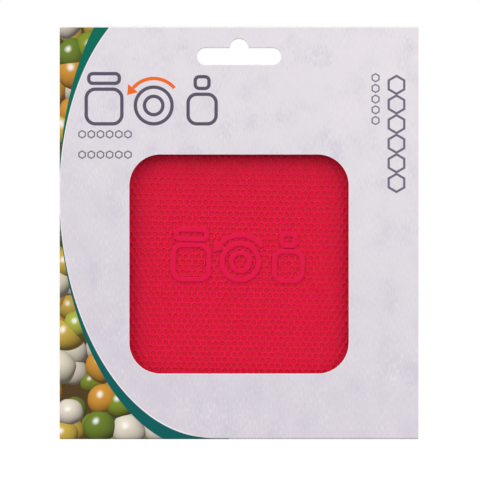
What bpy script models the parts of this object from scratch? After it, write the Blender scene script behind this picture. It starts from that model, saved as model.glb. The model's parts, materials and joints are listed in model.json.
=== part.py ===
"""Silicone jar opener: a square grip pad in the folded card sleeve that it hangs and is sold in.

The sleeve is one board, cut to a strip and folded: the front panel runs down to a narrow bottom gusset, the
back panel comes up behind, and above the pad a sloping shoulder brings the back header against the front,
where two strips of glue hold it. Both ends of the sleeve are open, and the pad slides out sideways.

The sleeve hangs upright, with its front towards -Y, +X to the right and +Z up. The origin lies in the hang
slot, at the top of its hump and midway between the two layers of the header.
"""

import math

import bmesh
import bpy
from mathutils import Matrix

MM = 0.001

# Board and glue
BOARD = 0.5 * MM
GLUE = 0.15 * MM
GLUE_GAP = 0.1 * MM
CREASE_TRIM = 0.55 * MM  # what each panel stops short of its fold line

# Grip pad
PAD_SIDE = 135.0 * MM
PAD_THICKNESS = 2.4 * MM
PAD_CORNER_RADIUS = 10.0 * MM
PAD_EDGE_RADIUS = 0.6 * MM
PAD_TURN = math.radians(0.9)  # clockwise seen from the front, as it has settled in the sleeve

# Honeycomb hollows in the pad's front face, one where the real pad has about eleven
HOLLOW_PITCH = 8.2 * MM
HOLLOW_RIDGE = 2.0 * MM  # left between neighbours
HOLLOW_DEPTH = 0.5 * MM
HOLLOW_DRAFT = 0.4 * MM  # how far the walls lean in towards the floor
HOLLOW_BORDER = 1.3 * MM
HOLLOW_OVERRUN = 0.1 * MM

# Room around the pad
PAD_SIDE_ROOM = 3.0 * MM
PAD_FRONT_ROOM = 3.5 * MM
PAD_BACK_ROOM = 0.3 * MM
PAD_FLOOR_ROOM = 0.3 * MM
PAD_TOP_ROOM = 1.4 * MM

# Header above the pad
HEADER_HEIGHT = 24.3 * MM
HEADER_RISE = 0.4 * MM  # the back layer stands this much above the front one
SHOULDER_FOLD = math.radians(45.0)

# Window in the front panel
WINDOW_WIDTH = 86.2 * MM
WINDOW_HEIGHT = 86.1 * MM
WINDOW_RADIUS = 12.2 * MM
WINDOW_BOTTOM_BORDER = 25.8 * MM

# Hang slot through both layers of the header
SLOT_WIDTH = 33.0 * MM
SLOT_HEIGHT = 6.6 * MM
SLOT_DROP = 8.1 * MM
HUMP_WIDTH = 7.3 * MM
HUMP_RISE = 3.6 * MM

# Glue strips beside the slot
GLUE_HEIGHT = 6.0 * MM
GLUE_SLOT_MARGIN = 6.0 * MM
GLUE_SIDE_MARGIN = 6.0 * MM

# Points on each quarter circle
CORNER_STEPS = 12
EDGE_STEPS = 3
SMOOTH_ANGLE = math.radians(30.0)


def turned_reach(side, radius, turn):
    """Half the height of a round-cornered square after it is turned in its own plane."""
    straight = side / 2 - radius
    return straight * (math.cos(turn) + math.sin(turn)) + radius


# Places that follow from the sizes
CARD_WIDTH = PAD_SIDE + 2 * PAD_SIDE_ROOM
PAD_REACH = turned_reach(PAD_SIDE, PAD_CORNER_RADIUS, PAD_TURN)
CARD_HEIGHT = BOARD + PAD_FLOOR_ROOM + 2 * PAD_REACH + HEADER_HEIGHT

LAYER_GAP = GLUE + 2 * GLUE_GAP
FRONT_Y = -(LAYER_GAP + BOARD) / 2
HEADER_Y = (LAYER_GAP + BOARD) / 2
PAD_Y = FRONT_Y + BOARD / 2 + PAD_FRONT_ROOM + PAD_THICKNESS / 2
BACK_Y = PAD_Y + PAD_THICKNESS / 2 + PAD_BACK_ROOM + BOARD / 2

SLOT_TOP_Z = -HUMP_RISE
TOP_Z = SLOT_TOP_Z + SLOT_DROP
FLOOR_Z = TOP_Z - CARD_HEIGHT + BOARD / 2
PAD_Z = FLOOR_Z + BOARD / 2 + PAD_FLOOR_ROOM + PAD_REACH
SHOULDER_Z = PAD_Z + PAD_REACH + PAD_TOP_ROOM
HEADER_Z = SHOULDER_Z + (BACK_Y - HEADER_Y) / math.tan(SHOULDER_FOLD)
WINDOW_Z = FLOOR_Z - BOARD / 2 + WINDOW_BOTTOM_BORDER + WINDOW_HEIGHT / 2

GUSSET_LENGTH = BACK_Y - FRONT_Y
BACK_LENGTH = SHOULDER_Z - FLOOR_Z
SHOULDER_LENGTH = (BACK_Y - HEADER_Y) / math.sin(SHOULDER_FOLD)
HEADER_LENGTH = TOP_Z + HEADER_RISE - HEADER_Z


def clear_scene():
    """Start from an empty scene."""
    for item in list(bpy.data.objects):
        bpy.data.objects.remove(item, do_unlink=True)


def new_collection(name):
    """A collection in the scene, for the sub-parts or for what cuts them."""
    made = bpy.data.collections.new(name)
    bpy.context.scene.collection.children.link(made)
    return made


def material(name, colour, roughness):
    """A plain non-metallic finish."""
    finish = bpy.data.materials.new(name)
    finish.use_nodes = True
    shader = finish.node_tree.nodes["Principled BSDF"]
    shader.inputs["Base Color"].default_value = (*colour, 1)
    shader.inputs["Roughness"].default_value = roughness
    shader.inputs["Metallic"].default_value = 0
    return finish


def arc(centre_x, centre_z, radius_x, radius_z, start, end, steps):
    """Points along an arc of an ellipse between two angles in degrees."""
    angles = [math.radians(start + (end - start) * step / steps) for step in range(steps + 1)]
    return [
        (centre_x + radius_x * math.cos(angle), centre_z + radius_z * math.sin(angle)) for angle in angles
    ]


def rectangle(half_width, low, high):
    """A plain rectangle between two heights."""
    return [(-half_width, low), (half_width, low), (half_width, high), (-half_width, high)]


def rounded_rectangle(centre_z, width, height, radius):
    """A rectangle with four round corners, centred on X."""
    across = width / 2 - radius
    up = height / 2 - radius
    return (
        arc(across, centre_z + up, radius, radius, 0, 90, CORNER_STEPS)
        + arc(-across, centre_z + up, radius, radius, 90, 180, CORNER_STEPS)
        + arc(-across, centre_z - up, radius, radius, 180, 270, CORNER_STEPS)
        + arc(across, centre_z - up, radius, radius, 270, 360, CORNER_STEPS)
    )


def hang_slot(top, up):
    """The slot with its hump; top is the height of its straight upper edge and up is +1 or -1."""
    radius = SLOT_HEIGHT / 2
    across = SLOT_WIDTH / 2 - radius
    middle = top - up * radius
    return (
        arc(across, middle, radius, up * radius, -90, 90, 2 * CORNER_STEPS)
        + arc(0, top, HUMP_WIDTH / 2, up * HUMP_RISE, 0, 180, 2 * CORNER_STEPS)
        + arc(-across, middle, radius, up * radius, 90, 270, 2 * CORNER_STEPS)
    )


def flat_piece(name, loops, thickness, finish, parts):
    """A flat piece cut to its outline, upright in X and Z with its thickness along Y."""
    outline = bpy.data.curves.new(name + "_outline", "CURVE")
    outline.dimensions = "2D"
    outline.fill_mode = "BOTH"
    outline.extrude = thickness / 2
    for loop in loops:
        spline = outline.splines.new("POLY")
        spline.points.add(len(loop) - 1)
        for point, (x, z) in zip(spline.points, loop):
            point.co = (x, z, 0, 1)
        spline.use_cyclic_u = True
    drawn = bpy.data.objects.new(name + "_outline", outline)
    parts.objects.link(drawn)
    bpy.context.view_layer.update()
    evaluated = drawn.evaluated_get(bpy.context.evaluated_depsgraph_get())
    mesh = bpy.data.meshes.new_from_object(evaluated)
    bpy.data.objects.remove(drawn, do_unlink=True)

    shape = bmesh.new()
    shape.from_mesh(mesh)
    bmesh.ops.remove_doubles(shape, verts=shape.verts, dist=GLUE_GAP / 100)
    bmesh.ops.recalc_face_normals(shape, faces=shape.faces)
    shape.to_mesh(mesh)
    shape.free()
    mesh.transform(Matrix.Rotation(math.radians(90), 4, "X"))
    mesh.name = name
    mesh.materials.clear()
    mesh.materials.append(finish)
    piece = bpy.data.objects.new(name, mesh)
    parts.objects.link(piece)
    return piece


def hinge_on(piece, parent, y, z, fold):
    """Put a piece's own origin on a fold line of its parent and fold it about X."""
    piece.parent = parent
    piece.location = (0, y, z)
    piece.rotation_euler = (fold, 0, 0)


def folded_panel(name, length, parent, hinge_z, fold, finish, parts, holes=(), free_end=False):
    """A panel of the board that runs down from its fold line, which is its origin, in its parent's frame."""
    far = -length if free_end else -(length - CREASE_TRIM)
    outline = rectangle(CARD_WIDTH / 2, far, -CREASE_TRIM)
    panel = flat_piece(name, [outline, *holes], BOARD, finish, parts)
    hinge_on(panel, parent, 0, hinge_z, fold)
    return panel


def make_front_panel(parts):
    """The printed front with its window and hang slot; its origin is the bottom fold line."""
    finish = material("front_panel", (0.74, 0.69, 0.75), 0.62)
    outline = rectangle(CARD_WIDTH / 2, CREASE_TRIM, TOP_Z - FLOOR_Z)
    window = rounded_rectangle(WINDOW_Z - FLOOR_Z, WINDOW_WIDTH, WINDOW_HEIGHT, WINDOW_RADIUS)
    slot = hang_slot(SLOT_TOP_Z - FLOOR_Z, 1)
    front = flat_piece("front_panel", [outline, window, slot], BOARD, finish, parts)
    front.location = (0, FRONT_Y, FLOOR_Z)
    return front


def make_bottom_gusset(front, parts):
    """The narrow strip under the pad, between the two bottom folds."""
    finish = material("bottom_gusset", (0.70, 0.65, 0.71), 0.62)
    return folded_panel("bottom_gusset", GUSSET_LENGTH, front, 0, math.radians(90), finish, parts)


def make_back_panel(gusset, parts):
    """The plain back, which comes up from the gusset's rear fold."""
    finish = material("back_panel", (0.73, 0.69, 0.74), 0.62)
    return folded_panel("back_panel", BACK_LENGTH, gusset, -GUSSET_LENGTH, math.radians(90), finish, parts)


def make_shoulder_panel(back, parts):
    """The strip above the pad that slopes forward to the header."""
    finish = material("shoulder_panel", (0.72, 0.68, 0.73), 0.62)
    return folded_panel("shoulder_panel", SHOULDER_LENGTH, back, -BACK_LENGTH, SHOULDER_FOLD, finish, parts)


def make_back_header(shoulder, parts):
    """The second layer of the header, with the same hang slot."""
    finish = material("back_header", (0.73, 0.69, 0.74), 0.62)
    slot = hang_slot(HEADER_Z - SLOT_TOP_Z, -1)
    return folded_panel(
        "back_header",
        HEADER_LENGTH,
        shoulder,
        -SHOULDER_LENGTH,
        -SHOULDER_FOLD,
        finish,
        parts,
        holes=[slot],
        free_end=True,
    )


def make_glue_strips(header, parts):
    """Two thin glue strips between the header's layers, one on each side of the slot."""
    finish = material("header_glue", (0.80, 0.76, 0.62), 0.35)
    inner = SLOT_WIDTH / 2 + GLUE_SLOT_MARGIN
    outer = CARD_WIDTH / 2 - GLUE_SIDE_MARGIN
    middle = -(HEADER_LENGTH - HEADER_RISE + CREASE_TRIM) / 2
    for name, side in (("glue_strip_left", -1), ("glue_strip_right", 1)):
        outline = rounded_rectangle(0, outer - inner, GLUE_HEIGHT, GLUE_HEIGHT / 2)
        strip = flat_piece(name, [outline], GLUE, finish, parts)
        strip.parent = header
        strip.location = (side * (inner + outer) / 2, HEADER_Y, middle)


def hollow_places():
    """Centres of a honeycomb whose hollows stay inside the pad's border, with corners pointing up and down."""
    reach = (HOLLOW_PITCH - HOLLOW_RIDGE) / math.sqrt(3)
    flat_half = PAD_SIDE / 2 - PAD_CORNER_RADIUS
    count = math.ceil(PAD_SIDE / HOLLOW_PITCH)
    places = []
    for row in range(-count, count + 1):
        up = row * HOLLOW_PITCH * math.sqrt(3) / 2
        for column in range(-count, count + 1):
            across = (column + row % 2 / 2) * HOLLOW_PITCH
            beyond = math.hypot(max(abs(across) - flat_half, 0), max(abs(up) - flat_half, 0))
            if beyond + reach + HOLLOW_BORDER < PAD_CORNER_RADIUS:
                places.append((across, up))
    return places


def make_hollow_cutter(pad, cutters):
    """Six-sided plugs, narrower towards the floor, that stand in the pad's front face."""
    floor_reach = (HOLLOW_PITCH - HOLLOW_RIDGE) / math.sqrt(3) - HOLLOW_DRAFT
    length = HOLLOW_DEPTH + HOLLOW_OVERRUN
    top_reach = floor_reach + HOLLOW_DRAFT * length / HOLLOW_DEPTH
    height = PAD_THICKNESS / 2 - HOLLOW_DEPTH + length / 2
    shape = bmesh.new()
    for across, up in hollow_places():
        bmesh.ops.create_cone(
            shape,
            cap_ends=True,
            segments=6,
            radius1=floor_reach,
            radius2=top_reach,
            depth=length,
            matrix=Matrix.Translation((across, up, height)),
        )
    mesh = bpy.data.meshes.new("hollows")
    shape.to_mesh(mesh)
    shape.free()
    mesh.transform(Matrix.Rotation(math.radians(90), 4, "X"))
    cutter = bpy.data.objects.new("hollows", mesh)
    cutters.objects.link(cutter)
    cutter.parent = pad
    cutter.hide_render = True
    cutter.display_type = "WIRE"
    return cutter


def make_grip_pad(front, parts, cutters):
    """The silicone pad: a round-cornered square slab with softened edges and a honeycomb of hollows in front."""
    finish = material("grip_pad", (0.70, 0.012, 0.045), 0.5)
    outline = rounded_rectangle(0, PAD_SIDE, PAD_SIDE, PAD_CORNER_RADIUS)
    pad = flat_piece("grip_pad", [outline], PAD_THICKNESS, finish, parts)
    pad.parent = front
    pad.location = (0, PAD_Y - FRONT_Y, PAD_Z - FLOOR_Z)
    pad.rotation_euler = (0, PAD_TURN, 0)
    soften = pad.modifiers.new("edges", "BEVEL")
    soften.width = PAD_EDGE_RADIUS
    soften.segments = EDGE_STEPS
    soften.limit_method = "ANGLE"
    soften.angle_limit = SMOOTH_ANGLE
    hollow = pad.modifiers.new("hollows", "BOOLEAN")
    hollow.operation = "DIFFERENCE"
    hollow.object = make_hollow_cutter(pad, cutters)
    pad.data.shade_smooth()
    pad.data.set_sharp_from_angle(angle=SMOOTH_ANGLE)
    return pad


def main():
    """Fold the sleeve panel by panel, glue its header and put the pad in."""
    clear_scene()
    parts = new_collection("jar_opener")
    cutters = new_collection("jar_opener_cutters")
    front = make_front_panel(parts)
    gusset = make_bottom_gusset(front, parts)
    back = make_back_panel(gusset, parts)
    shoulder = make_shoulder_panel(back, parts)
    header = make_back_header(shoulder, parts)
    make_glue_strips(header, parts)
    make_grip_pad(front, parts, cutters)
    bpy.context.view_layer.update()
    print("card", round(CARD_WIDTH / MM, 2), "x", round(CARD_HEIGHT / MM, 2), "mm")
    print("fold lines, y and z in mm:")
    for name, y, z in (
        ("front bottom", FRONT_Y, FLOOR_Z),
        ("back bottom", BACK_Y, FLOOR_Z),
        ("shoulder", BACK_Y, SHOULDER_Z),
        ("header", HEADER_Y, HEADER_Z),
    ):
        print(" ", name, round(y / MM, 3), round(z / MM, 3))
    print("pad centre, y and z in mm:", round(PAD_Y / MM, 3), round(PAD_Z / MM, 3))


main()
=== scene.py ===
# %% [markdown]
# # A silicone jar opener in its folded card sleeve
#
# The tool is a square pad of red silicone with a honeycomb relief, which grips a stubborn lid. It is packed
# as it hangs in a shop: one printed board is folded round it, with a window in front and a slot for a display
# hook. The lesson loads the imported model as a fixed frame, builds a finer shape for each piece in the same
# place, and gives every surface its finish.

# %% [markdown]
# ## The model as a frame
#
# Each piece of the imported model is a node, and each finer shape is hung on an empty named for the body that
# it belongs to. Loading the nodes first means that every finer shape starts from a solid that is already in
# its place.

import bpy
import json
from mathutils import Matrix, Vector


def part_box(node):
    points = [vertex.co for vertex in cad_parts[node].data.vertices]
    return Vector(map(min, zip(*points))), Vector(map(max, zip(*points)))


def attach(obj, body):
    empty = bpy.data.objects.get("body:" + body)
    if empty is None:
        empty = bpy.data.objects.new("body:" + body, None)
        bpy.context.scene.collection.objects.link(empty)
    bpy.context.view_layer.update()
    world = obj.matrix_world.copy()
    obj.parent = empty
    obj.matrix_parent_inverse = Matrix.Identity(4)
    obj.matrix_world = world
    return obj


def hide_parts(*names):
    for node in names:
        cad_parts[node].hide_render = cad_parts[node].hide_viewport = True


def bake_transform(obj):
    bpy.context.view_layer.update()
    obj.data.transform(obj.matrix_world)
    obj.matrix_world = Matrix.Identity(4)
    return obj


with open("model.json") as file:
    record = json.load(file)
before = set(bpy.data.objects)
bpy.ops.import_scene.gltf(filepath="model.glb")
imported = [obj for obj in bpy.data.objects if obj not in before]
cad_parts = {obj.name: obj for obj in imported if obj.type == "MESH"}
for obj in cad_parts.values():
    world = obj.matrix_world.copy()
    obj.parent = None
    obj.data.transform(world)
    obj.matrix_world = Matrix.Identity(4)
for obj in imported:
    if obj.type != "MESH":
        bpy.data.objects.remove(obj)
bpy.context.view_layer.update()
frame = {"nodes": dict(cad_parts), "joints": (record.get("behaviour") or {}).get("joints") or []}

# %% [markdown]
# ## Camera
#
# The photograph looks straight at the front of the pack, from far enough away that its sides don't show. A
# long lens gives that view. The camera comes first, so that every later step can be looked at through it.

# %% Camera, straight on
import json
import math

import bmesh
import bpy
import numpy as np
from mathutils import Matrix

MM = 0.001  # shapes are worked out in millimetres, and Blender's unit is the metre
CAMERA_PLACE = (0.38, -524.1, -79.1)
LENS = 100
SENSOR = 36

camera = bpy.data.objects.new("camera", bpy.data.cameras.new("camera"))
bpy.context.scene.collection.objects.link(camera)
camera.location = [place * MM for place in CAMERA_PLACE]
camera.rotation_euler = (math.radians(90), 0, 0)
camera.data.lens = LENS
camera.data.sensor_width = SENSOR
camera.data.clip_start = 10 * MM
camera.data.clip_end = 20
bpy.context.scene.camera = camera
print("view is", round(-CAMERA_PLACE[1] * SENSOR / LENS), "mm wide at the card")

# %% [markdown]
# ## Where the frame puts the pieces
#
# The board of the sleeve is one strip, folded at four creases. In a side view it is a path in Y and Z that
# runs down the front, under the pad, up the back, over the shoulder and up the header. Reading the fold lines
# and the panels' boxes from the frame keeps the finer pieces exactly where the model has them.

# %% Sizes read from the frame
def frame_box(node):
    """A node's lowest and highest corner in millimetres."""
    low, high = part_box(node)
    return np.array(low) / MM, np.array(high) / MM


FOLD = {joint["name"]: np.array(joint["pos_m"][1:]) / MM for joint in frame["joints"] if "pos_m" in joint}
front_low, front_high = frame_box("front_panel")
header_low, header_high = frame_box("back_header")
HALF_WIDTH = front_high[0]
BOARD = front_high[1] - front_low[1]
TRIM = front_low[2] - FOLD["front_crease"][1]
print("card", round(2 * HALF_WIDTH, 1), "mm wide, board", round(BOARD, 2), "mm, panels stop", round(TRIM, 2),
      "mm from their folds")

# %% [markdown]
# ## Grids, loops and cut edges
#
# Each surface here is a grid of points: rows and columns worked out as whole arrays, with a four-sided face
# between neighbours. Blender's modifiers could thicken and bevel a flat sheet too, but a grid lets each point
# carry a value of its own, and the sleeve needs one: how much ink is left on the board at that point.

# %% Grids to pieces
WELD = 0.001
SHARP = math.radians(40)


def grid_faces(rows, columns, closed, start):
    """Four-sided faces of a grid, each a point, its neighbour in the row and the two points below them."""
    index = start + np.arange(rows * columns).reshape(rows, columns)
    if closed:
        index = np.hstack([index, index[:, :1]])
    return np.stack([index[:-1, :-1], index[:-1, 1:], index[1:, 1:], index[1:, :-1]], -1).reshape(-1, 4)


def new_mesh(name, points, face_groups):
    """A mesh in metres from points in millimetres and arrays of faces with three or four corners each."""
    mesh = bpy.data.meshes.new(name)
    corners = np.concatenate([group.ravel() for group in face_groups])
    sizes = np.concatenate([np.full(len(group), group.shape[1]) for group in face_groups])
    mesh.vertices.add(len(points))
    mesh.vertices.foreach_set("co", (points * MM).astype(np.float32).ravel())
    mesh.loops.add(len(corners))
    mesh.loops.foreach_set("vertex_index", corners.astype(np.int32))
    mesh.polygons.add(len(sizes))
    mesh.polygons.foreach_set("loop_start", (np.cumsum(sizes) - sizes).astype(np.int32))
    mesh.update(calc_edges=True)
    return mesh


def finish_mesh(shape, mesh):
    """Turns all faces outwards, puts the shape into the mesh and shades it smooth between its sharp edges."""
    bmesh.ops.recalc_face_normals(shape, faces=shape.faces)
    print(mesh.name, "has", sum(edge.is_boundary for edge in shape.edges), "open edges")
    shape.to_mesh(mesh)
    shape.free()
    mesh.shade_smooth()
    mesh.set_sharp_from_angle(angle=SHARP)


def close_mesh(mesh, fill_loops):
    """Welds the grids, fills the open ends where asked to, and finishes the mesh."""
    shape = bmesh.new()
    shape.from_mesh(mesh)
    bmesh.ops.remove_doubles(shape, verts=shape.verts, dist=WELD * MM)
    if fill_loops:
        bmesh.ops.holes_fill(shape, edges=[edge for edge in shape.edges if edge.is_boundary])
    finish_mesh(shape, mesh)


def add_piece(name, mesh, finish):
    """An object for the mesh, with its finish in the mesh's material slot."""
    piece = bpy.data.objects.new(name, mesh)
    bpy.context.scene.collection.objects.link(piece)
    mesh.materials.append(finish)
    print(name + ":", len(mesh.polygons), "faces")
    return piece


# %% [markdown]
# ## Outlines
#
# The window, the slot, the panels and the pad are all outlines with round corners. A curve object could draw
# them too, but two outlines that are to share a ring of faces need the same number of points, in the same
# order, and that is easiest when each is an array of points made from arcs and straight runs.

# %% Outlines
HALF_ARC = 8  # steps in an eighth of a circle


def arc(centre, radii, start, end, steps):
    """Points on an ellipse: the centre plus each radius times the cosine or sine of evenly spaced angles."""
    angle = np.radians(np.linspace(start, end, steps + 1))
    return np.column_stack([centre[0] + radii[0] * np.cos(angle), centre[1] + radii[1] * np.sin(angle)])


def offset(path, distance, closed):
    """Moves a point to the right of the path: the sum of its edges' normals over one plus their product."""
    after = np.roll(path, -1, 0) - path if closed else np.diff(path, axis=0)[[*range(len(path) - 1), -1]]
    before = np.roll(after, 1, 0) if closed else after[[0, *range(len(path) - 1)]]
    normals = [np.column_stack([edge[:, 1], -edge[:, 0]]) for edge in (before, after)]
    first, second = [normal / np.linalg.norm(normal, axis=1)[:, None] for normal in normals]
    return path + distance * (first + second) / (1 + (first * second).sum(1))[:, None]


def rounded_rectangle(centre, width, height, radius):
    """A loop of four quarter circles, anticlockwise from the middle of the lower right one."""
    across, up = width / 2 - radius, height / 2 - radius
    radii = (radius, radius)
    corners = [(across, -up, -45, 0), (across, up, 0, 90), (-across, up, 90, 180), (-across, -up, 180, 270),
               (across, -up, 270, 315)]
    pieces = [
        arc((centre[0] + x, centre[1] + z), radii, start, end, HALF_ARC * round((end - start) / 45))
        for x, z, start, end in corners
    ]
    return np.vstack([*pieces[:-1], pieces[-1][:-1]])


def sides(half_width, low, high, steps):
    """The right, top, left and bottom side of a rectangle as rows of evenly spaced points, anticlockwise."""
    corners = np.array([(half_width, low), (half_width, high), (-half_width, high), (-half_width, low)])
    return [
        start + np.linspace(0, 1, count + 1)[:, None] * (end - start)
        for start, end, count in zip(corners, np.roll(corners, -1, 0), steps)
    ]


def loop_of(four_sides):
    """One closed loop from four sides that share their corners."""
    return np.vstack([side[:-1] for side in four_sides])


print("a quarter circle has", 2 * HALF_ARC, "steps")

# %% [markdown]
# ## The board's cut edge
#
# A die cuts the window, the slot and the outline. It crushes the printed face down a little before it cuts,
# so each edge has a soft lip, and there the ink cracks and the white board shows: the fine bright line round
# the window. The edge is a profile carried along the outline. The profile's value falls from one on the
# printed face to zero in the cut and to minus one inside, and the finish turns it into ink, white pulp or the
# duller back.

# %% Profile of a cut edge
WINDOW_LIP = (0.3, 0.03)  # how wide and how deep the die crushes the face round a hole
OUTER_LIP = (0.22, 0.12)
OUTER_INSET = 2 * OUTER_LIP[0]  # how far in from the outer edge the face is flat
SLOT_LIP = (0.25, 0.12)
BACK_LIP = 0.06
LIP_STEPS = 4


def edge_profile(lip, thickness, back_lip):
    """Rows of (share of the way from inset to edge, depth, ink), from the printed face to the inner one.

    The lip is a quarter ellipse from half way to the edge: the share grows with the sine of the angle and the
    depth with one minus its cosine. The inner face has a quarter circle too.
    """
    width, depth = lip
    angle = np.linspace(0, math.pi / 2, LIP_STEPS + 1)
    front = np.column_stack([0.5 + 0.5 * np.sin(angle), depth * (1 - np.cos(angle)), 1 - angle / angle[-1]])
    back = np.column_stack([
        1 - back_lip / (2 * width) * (1 - np.cos(angle)),
        thickness - back_lip * (1 - np.sin(angle)),
        -angle / angle[-1],
    ])
    return np.vstack([[0, 0, 1], front, back, [0, thickness, -1]])


def carry(edge, inset, profile):
    """A grid with a row for each row of the profile: points on the line from the inset path to the edge."""
    share, depth, ink = profile.T[:, :, None]
    flat = inset + share[:, :, None] * (edge - inset)
    return flat, np.broadcast_to(depth, flat.shape[:2]), np.broadcast_to(ink, flat.shape[:2])


print("a cut edge has", len(edge_profile(OUTER_LIP, BOARD, BACK_LIP)), "rows")

# %% [markdown]
# ## Panels of the sleeve
#
# A panel lies along a straight stretch of the strip's path, and a point of it has a place across the card, a
# place along the stretch and a depth below the printed face. One function turns these three into X, Y and Z,
# so that the same outline code serves the front, which runs down, and the header, which runs up behind it.

# %% Lay a flat stretch of board in place
def lay(flat, depth, start, direction):
    """Places (across, along) points: start plus along times direction, out by half a board less the depth.

    Start and direction are in Y and Z, and out is the direction turned a quarter turn clockwise.
    """
    out = np.array([direction[1], -direction[0]])
    side = np.asarray(start) + flat[..., 1:] * np.asarray(direction) + (BOARD / 2 - depth)[..., None] * out
    return np.concatenate([flat[..., :1], side], -1)


def board_piece(name, grids, finish):
    """One closed piece of board from (points, ink, closed) grids."""
    starts = np.cumsum([0] + [points.shape[0] * points.shape[1] for points, _, _ in grids])
    faces = [
        grid_faces(*points.shape[:2], closed, start) for (points, _, closed), start in zip(grids, starts)
    ]
    mesh = new_mesh(name, np.vstack([points.reshape(-1, 3) for points, _, _ in grids]), faces)
    ink = mesh.attributes.new("ink", "FLOAT", "POINT")
    ink.data.foreach_set("value", np.concatenate([value.ravel() for _, value, _ in grids]).astype(np.float32))
    close_mesh(mesh, fill_loops=True)
    return add_piece(name, mesh, finish)


# %% [markdown]
# ## Holes in a panel
#
# A boolean would cut the window and the slot out of a slab in one step, but it leaves long thin faces that
# shade badly. Here each hole lies in a rectangle of its own, with a ring of faces between the two, and the
# rings meet edge to edge.

# %% Cut a panel with holes
def cut_panel(name, rings, outer_path, start, direction, finish):
    """A panel from rings, each a hole's loop, the four sides of the rectangle round it and the hole's lip.

    A ring is a grid of two rows, the hole's inset loop and the rectangle. It is laid twice, for the printed
    and the inner face. A cut edge is carried round each hole, and along the outer path, which is its inset.
    """
    facing = np.array([1, direction[1]])  # along runs up or down, and Z always runs up
    grids = []

    def cut(edge, inset, lip, closed):
        flat, depth, ink = carry(edge, inset, edge_profile(lip, BOARD, BACK_LIP))
        grids.append((lay(flat * facing, depth, start, direction), ink, closed))

    for hole, outer, lip in rings:
        inset = offset(hole, 2 * lip[0], closed=True)
        ring = np.stack([inset, outer]) * facing
        for depth, ink in ((0, 1), (BOARD, -1)):
            level = np.full(ring.shape[:2], float(depth))
            grids.append((lay(ring, level, start, direction), np.full(ring.shape[:2], float(ink)), True))
        cut(hole, inset, lip, True)
    cut(offset(outer_path, OUTER_INSET, closed=False), outer_path, OUTER_LIP, False)
    return board_piece(name, grids, finish)


# %% [markdown]
# ## Ink and board
#
# The print is a pale lilac ground, mottled like brushed concrete: fine upright streaks over broad soft
# blotches. A dark green band sweeps down the left side, and beyond it the corner is filled with a generic
# print of smooth pebbles. An image could carry all this, but a pattern worked out from the place on the card,
# in millimetres, stays sharp from near by. The small class below makes shader maths read like sums.

# %% Shader maths as sums
def linear(red, green, blue):
    """A colour as seen on screen, 0 to 255, as the linear values that a shader takes."""
    share = np.array([red, green, blue]) / 255
    return (*np.where(share <= 0.04045, share / 12.92, ((share + 0.055) / 1.055) ** 2.4), 1.0)


class Wire:
    """An output socket. Sums on it add Math nodes, and node() adds any other node to the same finish."""

    def __init__(self, tree, socket):
        self.tree = tree
        self.socket = socket

    def node(self, kind, settings=None, inputs=None, output=0):
        """Adds a node: its settings first, then values or links for its sockets, by name or number."""
        made = self.tree.nodes.new(kind)
        for key, value in (settings or {}).items():
            setattr(made, key, value)
        for key, value in (inputs or {}).items():
            if isinstance(value, Wire):
                self.tree.links.new(value.socket, made.inputs[key])
            else:
                made.inputs[key].default_value = value
        return Wire(self.tree, made.outputs[output])

    def math(self, operation, *values):
        return self.node("ShaderNodeMath", {"operation": operation}, dict(enumerate(values)))

    def out(self, output):
        """Another output of the same node."""
        return Wire(self.tree, self.socket.node.outputs[output])

    def __add__(self, other):
        return self.math("ADD", self, other)

    def __sub__(self, other):
        return self.math("SUBTRACT", self, other)

    def __rsub__(self, other):
        return self.math("SUBTRACT", other, self)

    def __mul__(self, other):
        return self.math("MULTIPLY", self, other)

    def __truediv__(self, other):
        return self.math("DIVIDE", self, other)

    def __pow__(self, other):
        return self.math("POWER", self, other)

    def __lt__(self, other):
        return self.math("LESS_THAN", self, other)

    def __abs__(self):
        return self.math("ABSOLUTE", self)

    __radd__ = __add__
    __rmul__ = __mul__

    def root(self):
        return self.math("SQRT", self)

    def round(self):
        return self.math("ROUND", self)

    def least(self, other):
        return self.math("MINIMUM", self, other)

    def most(self, other):
        return self.math("MAXIMUM", self, other)

    def ramp(self, low, high):
        """Zero below low, one above high and a soft step between."""
        return self.node("ShaderNodeMapRange", {"interpolation_type": "SMOOTHSTEP"},
                         {"Value": self, "From Min": low, "From Max": high})

    def mix(self, first, second):
        """A colour between two, by this wire's value."""
        return self.node("ShaderNodeMix", {"data_type": "RGBA", "clamp_factor": True},
                         {0: self, 6: first, 7: second}, output=2)

    def vector(self, x, y, z=0.0):
        return self.node("ShaderNodeCombineXYZ", inputs={0: x, 1: y, 2: z})

    def noise(self, x, z, detail, seed=0.0):
        """Cloudy noise about one half, over places given in units of its own grain."""
        return self.node("ShaderNodeTexNoise", {"noise_dimensions": "3D"},
                         {"Vector": self.vector(x, z, seed), "Scale": 1.0, "Detail": detail})

    def bump(self, strength, height):
        """A normal bent by this wire's value times a height in millimetres."""
        return self.node("ShaderNodeBump",
                         inputs={"Strength": strength, "Distance": height * MM, "Height": self})


def new_finish(name, **constants):
    """A material, its Principled shader, and its place on the object in millimetres as three wires."""
    finish = bpy.data.materials.new(name)
    finish.use_nodes = True
    tree = finish.node_tree
    shader = tree.nodes["Principled BSDF"]
    for key, value in constants.items():
        shader.inputs[key].default_value = value
    place = tree.nodes.new("ShaderNodeTexCoord")
    start = Wire(tree, place.outputs["Object"])
    parts = start.node("ShaderNodeSeparateXYZ", inputs={0: start})
    x, y, z = (parts.out(axis) * (1 / MM) for axis in "XYZ")
    return finish, shader, (x, y, z)


def connect(wire, shader, socket):
    """Links a wire to a socket of the shader."""
    wire.tree.links.new(wire.socket, shader.inputs[socket])


# %% [markdown]
# ### The lilac ground and the bare board
#
# The ground is a gradient from top to bottom, because the photograph is a little darker towards the lower
# edge. Noises shade it: one stretched upright for the streaks, one broad for the blotches, which lean to
# violet, and one broader still for the patches where the streaks show more. The board under the ink is
# bleached pulp.

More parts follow.
